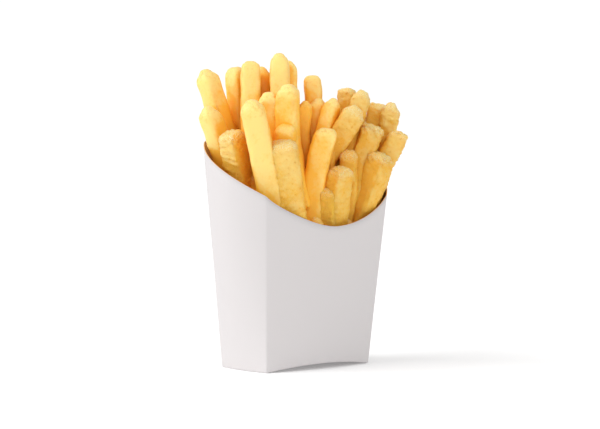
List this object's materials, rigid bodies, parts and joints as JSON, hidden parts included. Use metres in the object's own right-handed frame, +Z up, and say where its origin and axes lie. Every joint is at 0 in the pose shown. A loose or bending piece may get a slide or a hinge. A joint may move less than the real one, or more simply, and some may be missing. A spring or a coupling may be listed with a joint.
{
  "type": "french fries in a carton",
  "caption": "Golden french fries heaped upright in a plain white paperboard carton with a dipped front rim, bowed side panels and an arched base.",
  "frame": {"origin": "on the surface that the carton stands on, below the middle of the whole object seen from above, heap included", "axes": "+Z up; the dipped front panel looks along -Y; +X to the right of someone who faces the front"},
  "size_m": [0.1205, 0.0715, 0.1783],
  "materials": {
    "paperboard": "matt white coated paperboard, kraft-toned cut edge",
    "fried_potato": "golden fried potato with a faint oily sheen and crisp paler ends"
  },
  "bodies": {
    "root": {"carton": "paperboard", "fries": "fried_potato"}
  },
  "joints": []
}
